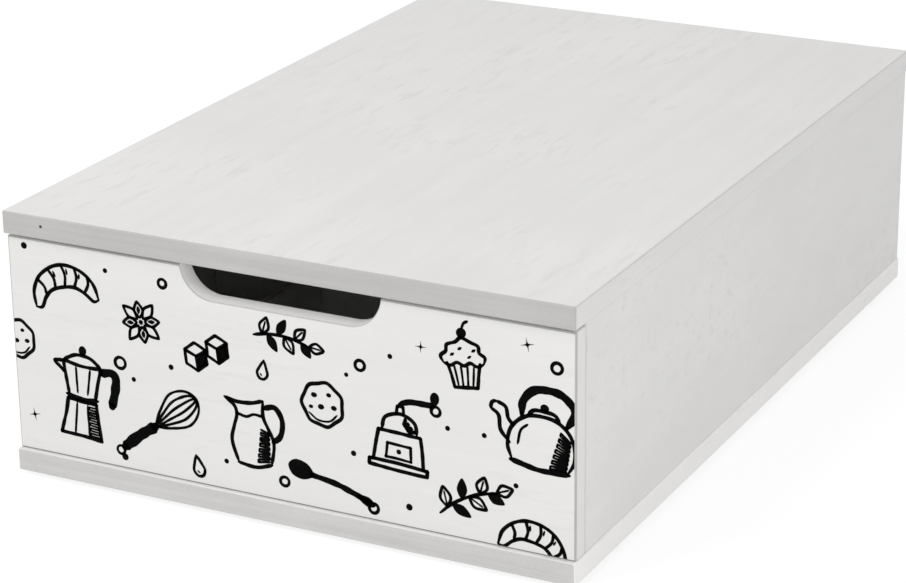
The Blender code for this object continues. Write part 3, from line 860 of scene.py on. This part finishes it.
class Pen:
    """Draws on the drawer front in millimetres and keeps the ink as small flat faces."""

    def __init__(self, windows):
        self.windows = windows
        self.faces = []

    def move(self, place, degrees=0.0, size=1.0):
        """Sets where the next drawing's origin is, how it leans and how large it is."""
        self.place, self.size = Vector(place), size
        self.cosine, self.sine = math.cos(math.radians(degrees)), math.sin(math.radians(degrees))

    def spot(self, point):
        """A point of the drawing on the front, with the unsteadiness of a hand."""
        x, z = point[0] * self.size, point[1] * self.size
        found = Vector((x * self.cosine - z * self.sine, x * self.sine + z * self.cosine))
        found += self.place
        course = Vector((found.x * WOBBLE_PACE, WOBBLE_LEVEL, found.y * WOBBLE_PACE))
        return found + noise.noise_vector(course).xz * WOBBLE

    def ink(self, polygon):
        """Keeps what of the polygon lies on the board."""
        for window in self.windows:
            clipped = clip(polygon, window)
            if len(clipped) > 2 and abs(area(clipped)) > LEAST_AREA:
                self.faces.append(clipped if area(clipped) > 0 else clipped[::-1])

    def line(self, points, width=OUTLINE, closed=False, start=0.5, end=0.5):
        """A smooth stroke through the points, thinner towards its ends."""
        spots = [self.spot(point) for point in curve_through(points, closed, self.size)]
        last, half = len(spots) - 1, width * PEN_WEIGHT * self.size ** 0.5 / 2
        rails = []
        for i, spot in enumerate(spots):
            if closed:
                run, swell = spots[(i + 1) % len(spots)] - spots[i - 1], 1
            else:
                run = spots[min(i + 1, last)] - spots[max(i - 1, 0)]
                share = i / last
                swell = min(1, start + share * TAPER, end + (1 - share) * TAPER)
            course = Vector((spot.x * SWELL_PACE, SWELL_LEVEL, spot.y * SWELL_PACE))
            flow = 1 + SWELL * noise.noise(course)
            reach = Vector((-run.y, run.x)).normalized() * half * swell * flow
            rails.append((spot + reach, spot - reach))
        following = rails[1:] + rails[:1] if closed else rails[1:]
        for (upper, lower), (next_upper, next_lower) in zip(rails, following):
            self.ink([lower, next_lower, next_upper, upper])
        if not closed:
            for upper, lower in (rails[0], rails[-1]):
                self.disc((upper + lower) / 2, (upper - lower).length / 2)

    def lines(self, width, *strokes):
        for points in strokes:
            self.line(points, width)

    def disc(self, centre, radius):
        steps = max(CAP_STEPS, int(radius * DISC_STEPS))
        angles = [2 * math.pi * i / steps for i in range(steps)]
        self.ink([centre + Vector((math.cos(a), math.sin(a))) * radius for a in angles])

    def dot(self, x, z, radius):
        self.disc(self.spot((x, z)), radius * self.size)

    def ring(self, x, z, radius, width=0.9):
        self.line(oval(x, z, radius, radius, start=20), width, closed=True)

    def sketch(self, points, width=OUTLINE):
        """Straight strokes from corner to corner, each a little past its ends."""
        for start, end in zip(points, points[1:]):
            start, end = Vector(start), Vector(end)
            run = end - start
            over = run.normalized() * OVERSHOOT
            bow = Vector((-run.y, run.x)) * BOW
            stroke = [start - over, start + run / 2 + bow, end + over]
            self.line(stroke, width, start=0.7, end=0.7)

    def fill(self, points):
        """A solid shape whose outline runs smoothly through the points."""
        spots = [self.spot(point) for point in curve_through(points, True, self.size)]
        for triangle in tessellate_polygon([[(*spot, 0) for spot in spots]]):
            self.ink([spots[i] for i in triangle])

    def scribble(self, first, second, turns, width=0.7):
        """A zigzag between two lines, each given by its ends."""
        (a, b), (c, d) = [[Vector(point) for point in pair] for pair in (first, second)]
        points = []
        for i in range(turns):
            share = i / (turns - 1)
            left, right = a.lerp(b, share), c.lerp(d, share)
            points += [left, right] if i % 2 else [right, left]
        for start, end in zip(points, points[1:]):
            self.line([start, (start + end) / 2, end], width, start=0.9, end=0.9)


def area(polygon):
    """The signed area of a polygon, positive if it runs anticlockwise."""
    following = polygon[1:] + polygon[:1]
    return sum(a.x * b.y - b.x * a.y for a, b in zip(polygon, following)) / 2


def clip(polygon, window):
    """What of a polygon lies in the window, whose sides are left, right, low and high."""
    for i, limit in enumerate(window):
        axis, side = i // 2, -1 if i % 2 else 1
        kept = []
        for a, b in zip(polygon, polygon[1:] + polygon[:1]):
            a_in, b_in = side * (a[axis] - limit) >= 0, side * (b[axis] - limit) >= 0
            if a_in:
                kept.append(a)
            if a_in != b_in:
                kept.append(a.lerp(b, (limit - a[axis]) / (b[axis] - a[axis])))
        polygon = kept
    return polygon


def curve_through(points, closed, size):
    """Points along a smooth curve, about one pen step apart."""
    points = [Vector(point) for point in points]
    if closed:
        knots = [points[-1], *points, *points[:2]]
    else:
        knots = [points[0] * 2 - points[1], *points, points[-1] * 2 - points[-2]]
    found = []
    for p0, p1, p2, p3 in zip(knots, knots[1:], knots[2:], knots[3:]):
        bend, twist = 2 * p0 - 5 * p1 + 4 * p2 - p3, 3 * p1 - p0 - 3 * p2 + p3
        steps = max(2, round((p2 - p1).length * size / PEN_STEP))
        for t in (i / steps for i in range(steps)):
            found.append(0.5 * (2 * p1 + (p2 - p0) * t + bend * t * t + twist * t ** 3))
    return found if closed else [*found, points[-1]]


def oval(x, z, wide, high, count=8, start=0):
    """Points round an oval, for a fill or a closed line."""
    turns = [math.radians(start + 360 * i / count) for i in range(count)]
    return [(x + wide * math.cos(a), z + high * math.sin(a)) for a in turns]


def mirrored(*half):
    """An outline's half and its mirror image, which share the last point if it is in the middle."""
    others = half[:-1] if half[-1][0] == 0 else half
    return [*half, *((-x, z) for x, z in reversed(others))]


def draw_stove_pot(pen):
    pen.sketch([(-7.6, -15), (7.6, -15), (5.3, -2.6), (-5.3, -2.6), (-7.6, -15)])
    pen.line([(-5.9, -1.2), (0, -1.9), (5.9, -1.2)], 1.3)
    pen.sketch([(-5, -0.4), (-7.3, 10)])
    pen.sketch([(5, -0.4), (7, 10)])
    pen.line([(-7.2, 10), (-10.6, 9.4), (-8.2, 7.4), (-6.8, 6)])
    pen.line([(-7.4, 10.2), (0, 9.6), (7.2, 10.2)])
    pen.line([(-7.2, 10.4), (-3.2, 12.8), (0, 13.3), (3.2, 12.8), (7.1, 10.4)])
    pen.fill(oval(0, 15, 1.5, 1.7))
    handle = [(6.9, 8.8), (10.8, 9.8), (12.6, 8.2), (12.3, 3.2), (11.3, -1.6)]
    pen.line(handle, 2.4, start=0.6, end=0.8)
    pen.lines(0.7, [(-2.5, -14.4), (-1.9, -3.4)], [(2.9, -14.4), (2.1, -3.4)])
    pen.lines(0.7, [(-1.7, 0), (-2.5, 9)], [(2, 0), (2.8, 9)])
    pen.scribble(((3.4, -14), (2.7, -4)), ((6.8, -14), (4.9, -4)), 12, 0.6)


def draw_mill(pen):
    pen.sketch(mirrored((-9, -13.6), (-7.6, -3)))
    pen.sketch([(-10.4, -13.8), (10.4, -13.8), (10.4, -15.8), (-10.4, -15.8), (-10.4, -13.8)])
    pen.sketch([(-4.6, -12), (4.6, -12), (4.2, -7), (-4.2, -7), (-4.6, -12)], 0.8)
    pen.dot(0, -9.4, 0.9)
    pen.line(mirrored((-6.4, -2.6), (-5.2, 1.8), (0, 3.8)))
    pen.scribble(((1.8, 2.6), (5.8, -1.6)), ((1.2, 0.4), (3.4, -2)), 8, 0.6)
    pen.sketch(mirrored((-1.3, 3.8), (-1, 6.4)), 0.9)
    pen.line([(-0.4, 7.2), (3, 8.6), (7.5, 9), (11.6, 9.3)], 1.6)
    pen.fill(oval(12, 11.8, 1.7, 2.3))


def draw_jug(pen):
    pen.line([(-6, -11), (-7.6, -4), (-6.2, 1), (-4.8, 5), (-5.4, 8), (-8.6, 10.6)])
    pen.line([(6, -11), (7.6, -4), (6.2, 1), (4.8, 5), (5.4, 10)])
    pen.line([(-8.6, 10.6), (-4, 9.2), (1, 9.2), (5.4, 10.2)])
    pen.line([(-6.2, -11.2), (0, -12.4), (6.2, -11.2)])
    pen.line([(5, 7.6), (9.4, 8.2), (11.6, 4), (10.4, -1), (7.2, -3.6)], 1.5)
    pen.line([(-5.2, 5.6), (-1.5, 4.4), (1.5, 5.4), (4.9, 4.8)], 0.8)
    pen.scribble(((1.2, -10.6), (3.6, 0.5)), ((5.4, -10.2), (6.2, -0.6)), 13, 0.65)


def draw_crescent_roll(pen):
    pen.line(mirrored((-13, -5.2), (-12.2, 0.6), (-8.2, 5.6), (-2.8, 8)))
    pen.line(mirrored((13, -5.2), (10.6, -5.4), (7.6, -2), (3.6, 0.3)))
    for top, low in (
        ((-9.6, 4.2), (-7.4, -1.4)),
        ((-4.6, 7.4), (-3.2, 0.6)),
        ((1.2, 8.2), (0.8, 0.8)),
        ((6.4, 6.6), (4.6, 0.2)),
        ((10.6, 3), (8.2, -2)),
    ):
        pen.line([top, ((top[0] + low[0]) / 2 + 0.9, (top[1] + low[1]) / 2), low], 0.9)
    pen.lines(0.6, [(-2.6, 6.4), (-2.2, 4.4)], [(3, 6.6), (2.9, 4.6)], [(7.8, 4.4), (7.2, 2.8)])


def draw_whisk(pen):
    pen.line([(-20, 0), (-12, 0.4), (-4.5, 0)], 2.9, start=0.7, end=0.8)
    pen.ring(-22.2, 0, 1.5, 0.8)
    for high in (6.2, 3.6, 1.2):
        upper = [(-4.2, 0.3), (1, high * 0.55), (8, high), (14, high * 0.72)]
        pen.line([*upper, (16.6, 0), *((x, -z) for x, z in reversed(upper))], 0.75)


def draw_sugar_cubes(pen):
    for x, z in ((-4.6, -1.4), (4.4, 1.8)):
        left, right, near = (x - 4.2, z + 2.6), (x + 4.2, z + 2.6), (x, z + 0.4)
        pen.sketch([left, (x, z + 5.2), right, near, left], 0.9)
        pen.sketch([left, (x - 4.2, z - 2.4), (x, z - 5), (x + 4.2, z - 2.4), right], 0.9)
        pen.sketch([near, (x, z - 4.6)], 0.9)
        edges = ((x + 0.7, z - 3.8), (x + 0.7, z)), ((x + 3.6, z - 1.9), (x + 3.6, z + 1.8))
        pen.scribble(*edges, 7, 0.5)


def draw_leaf(pen, root, tip, width, solid):
    root, tip = Vector(root), Vector(tip)
    side = Vector((-(tip - root).y, (tip - root).x)).normalized() * width
    middle = root.lerp(tip, 0.45)
    if solid:
        pen.fill([root, middle + side, tip, middle - side])
        return
    pen.lines(0.85, [root, middle + side, tip], [root, middle - side, tip])
    pen.line([root, middle, root.lerp(tip, 0.75)], 0.55)


def draw_sprig(pen):
    pen.line([(-13, -3), (-6, -0.6), (2, 0.2), (10, -0.8)], 0.95)
    for root, tip, solid in (
        ((-9.5, -1.7), (-8.5, 5.5), False),
        ((-7.5, -1), (-2.6, -6.8), True),
        ((-3.4, -0.1), (-0.6, 6.6), True),
        ((-0.6, 0.2), (4, -5.6), False),
        ((3.6, 0.2), (7.6, 5.4), False),
        ((6.4, -0.2), (11, -5), True),
        ((9.6, -0.7), (16, -0.6), False),
    ):
        draw_leaf(pen, root, tip, 1.9, solid)


def draw_spice_star(pen):
    for i in range(8):
        angle = math.radians(10 + 45 * i)
        out = Vector((math.cos(angle), math.sin(angle)))
        reach = 8.4 if i % 2 else 7.4
        side = Vector((-out.y, out.x)) * 1.7
        for edge in (side, -side):
            pen.line([out * 1.4, out * reach * 0.55 + edge, out * reach], 0.85)
        if i % 2 == 0:
            near, far = out * 4.2 + side * 0.45, out * 4.2 - side * 0.45
            pen.fill([out * 2.8 + side * 0.1, near, out * 5.6, far])
    pen.dot(0, 0, 0.9)


def draw_biscuit(pen):
    inner, outer = oval(0, 0, 7.6, 7.6, 14)[::2], oval(0, 0, 8.2, 8.2, 14)[1::2]
    pen.line([spot for pair in zip(inner, outer) for spot in pair], closed=True)
    pen.line([(-5.6, -3.6), (-2, -6), (2.6, -5.8), (5.6, -3)], 0.6)
    chips = (-3.2, 3, 1.2), (2.4, 3.8, 1), (4.4, -0.6, 1.2), (-0.6, -1, 1.3), (-4.6, -1.4, 0.9)
    for x, z, size in chips:
        pen.fill(oval(x, z, size, size * 0.8, 6))


def draw_teaspoon(pen):
    bowl = [(-13.4, 3.1), (-9, 3.2), (-5.6, 1)]
    pen.fill([(-15.8, 0), *bowl, (-5, 0), *((x, -z) for x, z in reversed(bowl))])
    pen.line([(-6, 0), (2, 0.7), (9, 0.4), (17, -0.6)], 1.7, start=0.9, end=1)
    pen.fill([(12.5, 0.6), (16.5, 1.2), (19.4, -0.9), (16.4, -2.4), (12.6, -0.9)])


def draw_muffin(pen):
    pen.sketch(mirrored((-6.8, 0), (-4.8, -9.4)))
    for top, low in ((-4.2, -3), (-1.4, -1), (1.4, 1), (4.2, 3)):
        pen.line([(top, -0.8), (low, -8.8)], 0.7)
    left = [(-8.4, 0.2), (-9.2, 2.6), (-6.8, 4.6), (-6.2, 7.2), (-2.6, 8.4), (0, 10.2)]
    pen.line([*left, (3.6, 8.6), (6.6, 7), (6.8, 4.4), (9, 2.8), (8.4, 0.2)])
    pen.line(mirrored((-8.4, 0.2), (-5.6, -0.9), (-2.8, 0.3), (0, -0.9)))
    pen.fill(oval(0.3, 12, 2.1, 2))
    pen.line([(0.6, 13.6), (1.6, 15.6), (3.4, 16.6)], 0.8)
    for x, z in ((-4.4, 3.4), (-1, 5.8), (2.6, 2.6), (4.6, 5.2)):
        pen.line([(x - 0.7, z - 0.4), (x + 0.7, z + 0.4)], 0.8)


def draw_kettle(pen):
    pen.line(mirrored((-9.6, -10), (-11.6, -5), (-10.6, 1), (-6.4, 5.6), (0, 7)))
    pen.line([(-10.2, -10.2), (0, -11.2), (10.2, -10.2)], 1.5)
    pen.line(mirrored((-5.6, 6.4), (-3, 8.6)))
    pen.fill(oval(0, 10, 1.5, 1.4))
    pen.line([(-10.8, -4.6), (-14.2, -1.2), (-15.4, 3.6), (-18.4, 5.4)])
    pen.line([(-9.8, 1.6), (-12, 3.6), (-13.2, 7), (-16.6, 8.2)])
    pen.line([(-18.4, 5.4), (-18, 7.4), (-16.6, 8.2)])
    pen.line([(8, 5.4), (10.2, 11.2), (5, 15.8), (-3.4, 15.4), (-7.4, 10.8), (-7.6, 6)], 2.1)
    pen.scribble(((3.4, -9.8), (6.2, 3.2)), ((9, -9.2), (9.8, 0.6)), 14, 0.65)
    pen.line([(-8.2, -4.4), (-7.4, 0.6), (-5.2, 3.2)], 0.7)


def draw_drop(pen):
    pen.line(mirrored((0, 4.6), (-1.6, 1), (-2.4, -1.4), (-1.4, -3.4), (0, -3.9)), 0.9)
    pen.line([(-0.9, -1.6), (-0.1, -2.5)], 0.6)


def draw_sparkle(pen):
    half = [(0, 3), (0.5, 0.5), (3, 0), (0.5, -0.5)]
    pen.fill([*half, *((-x, -z) for x, z in half)])


DRAWINGS = (
    (draw_crescent_roll, (-83, 71), 14, 1.0),
    (draw_stove_pot, (-78, 34), -4, 1.05),
    (draw_spice_star, (-53, 64), 0, 1.0),
    (draw_whisk, (-46, 30), 38, 1.0),
    (draw_sugar_cubes, (-28, 57), 6, 0.95),
    (draw_jug, (-12, 33), 5, 1.05),
    (draw_sprig, (2, 68), -8, 0.9),
    (draw_biscuit, (15, 47), 0, 0.95),
    (draw_teaspoon, (16, 20), -14, 0.95),
    (draw_mill, (43, 45), -3, 1.0),
    (draw_muffin, (66, 70), 6, 0.85),
    (draw_sprig, (68, 25), 22, 1.0),
    (draw_kettle, (93, 50), -5, 1.0),
    (draw_biscuit, (-103, 50), 0, 0.85),
    (draw_crescent_roll, (90, 13), -12, 0.9),
    (draw_drop, (-33, 16), 12, 0.9),
    (draw_drop, (-7, 55), -10, 0.8),
    (draw_sparkle, (-98, 23), 10, 0.8),
    (draw_sparkle, (51, 73), 0, 0.7),
    (draw_sparkle, (88, 80), 12, 0.8),
)
MARKS = (  # place, radius, and 1 for a ring or 0 for a dot
    (-62, 48, 2.0, 1), (-57, 43, 0.9, 0), (-62, 14, 1.3, 0), (-42, 50, 1.0, 0), (-44, 79, 1.5, 1),
    (-66, 80, 0.9, 0), (0, 17, 1.6, 1), (26, 32, 1.0, 0), (29, 63, 1.7, 1), (24, 59, 0.8, 0),
    (40, 68, 0.9, 0), (56, 52, 1.6, 1), (60, 47, 0.9, 0), (46, 17, 1.2, 0), (73, 47, 0.9, 0),
    (98, 74, 1.8, 1), (84, 32, 0.9, 0), (-98, 84, 1.2, 0), (-22, 20, 0.9, 0), (33, 14, 1.7, 1),
)


def print_windows():
    """The flat parts of the front that take ink: left of, right of and under the notch."""
    low, high = (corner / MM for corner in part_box("drawer_front"))
    rim, notch_rim, foot = FRONT_ARRIS / MM, NOTCH_ARRIS / MM, (FOOT_ARRIS - FRONT_REACH) / MM
    notch_x = NOTCH_WIDTH / 2 / MM + notch_rim
    notch_z = high.z - NOTCH_DEPTH / MM - notch_rim
    return (
        (low.x + rim, -notch_x, low.z + foot, high.z - rim),
        (notch_x, high.x - rim, low.z + foot, high.z - rim),
        (-notch_x, notch_x, low.z + foot, notch_z),
    )


def build_print(look):
    """Kitchen drawings in black ink, laid flat on the drawer front."""
    noise.seed_set(HAND_SEED)
    pen = Pen(print_windows())
    for draw, place, degrees, size in DRAWINGS:
        pen.move(place, degrees, size)
        draw(pen)
    for x, z, radius, hollow in MARKS:
        pen.move((x, z))
        (pen.ring if hollow else pen.dot)(0, 0, radius)
    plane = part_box("drawer_front")[0].y - INK_LIFT
    shape = bmesh.new()
    for polygon in pen.faces:
        shape.faces.new([shape.verts.new((spot.x * MM, plane, spot.y * MM)) for spot in polygon])
    bmesh.ops.remove_doubles(shape, verts=shape.verts, dist=WELD * MM)
    item = object_from("front_print", shape)
    item.data.materials.append(look)
    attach(item, "drawer")


def build_pore(look):
    """A small black speck in the top panel's front edge, painted shade standing in for a pore."""
    low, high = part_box("top_panel")
    corner = (low.x, low.y, high.z)
    place = [start + step * MM for start, step in zip(corner, PORE_PLACE)]
    profile = [(radius * MM, height * MM) for radius, height in PORE_PROFILE]
    item = turned("edge_pore_painted_shade", profile, place, (0, -1, 0), PORE_STEPS)
    finish_turned(item, look)
    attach(item, "carcass")


def build_floor():
    """A floor that is white to the camera and grey to all other rays, so it keeps shadows."""
    shape = bmesh.new()
    bmesh.ops.create_grid(shape, x_segments=1, y_segments=1, size=FLOOR_SIZE)
    floor = object_from("studio_floor", shape)
    floor.location.z = -FLOOR_DROP
    made = Shader("studio_floor", specular=0.0)
    seen = made.node("ShaderNodeLightPath").outputs["Is Camera Ray"]
    made.give("Roughness", FLOOR_ROUGHNESS)
    made.give("Base Color", made.blend(seen, shade(WHITE, FLOOR_BOUNCE), shade(WHITE, FLOOR_SEEN)))
    made.give("Emission Color", WHITE)
    made.give("Emission Strength", made.ramp(seen, 0, 1, FLOOR_FILL, FLOOR_GLOW))
    floor.data.materials.append(made.material)


def build_lights():
    world = bpy.data.worlds.new("studio")
    bpy.context.scene.world = world
    world.use_nodes = True
    backdrop = world.node_tree.nodes["Background"]
    backdrop.inputs["Color"].default_value = WHITE
    backdrop.inputs["Strength"].default_value = SKY
    for name, place, size, power in LAMPS:
        data = bpy.data.lights.new(name, "AREA")
        data.shape, data.size, data.energy = "DISK", size, power
        lamp = link(name, data)
        lamp.location = place
        lamp.visible_camera = False
        lamp.rotation_mode = "QUATERNION"
        lamp.rotation_quaternion = (Vector(LAMP_TARGET) - Vector(place)).to_track_quat("-Z", "Y")


def build_camera():
    data = bpy.data.cameras.new("photo_camera")
    data.sensor_fit = "HORIZONTAL"
    data.sensor_width = SENSOR_WIDTH
    data.lens = FOCAL_PIXELS * SENSOR_WIDTH / IMAGE_WIDTH
    data.clip_start, data.clip_end = CAMERA_CLIP
    camera = link("photo_camera", data)
    turn = Matrix.Rotation(CAMERA_AZIMUTH, 4, "Z")
    turn @= Matrix.Rotation(math.pi / 2 - CAMERA_ELEVATION, 4, "X")
    turn @= Matrix.Rotation(CAMERA_ROLL, 4, "Z")
    camera.matrix_world = Matrix.Translation(CAMERA_PLACE) @ turn
    bpy.context.scene.camera = camera


def main():
    looks = make_looks()
    build_camera()
    build_lights()
    build_floor()
    build_top_panel(looks)
    build_bottom_panel(looks)
    build_sides_and_back(looks)
    build_drawer_front(looks)
    build_drawer_box(looks)
    build_dividers(looks)
    build_fasteners(looks)
    dress_dowels(looks)
    build_print(looks["black_ink"])
    build_pore(looks["rubber_pad"])
    bpy.context.scene.view_settings.view_transform = "Standard"


main()
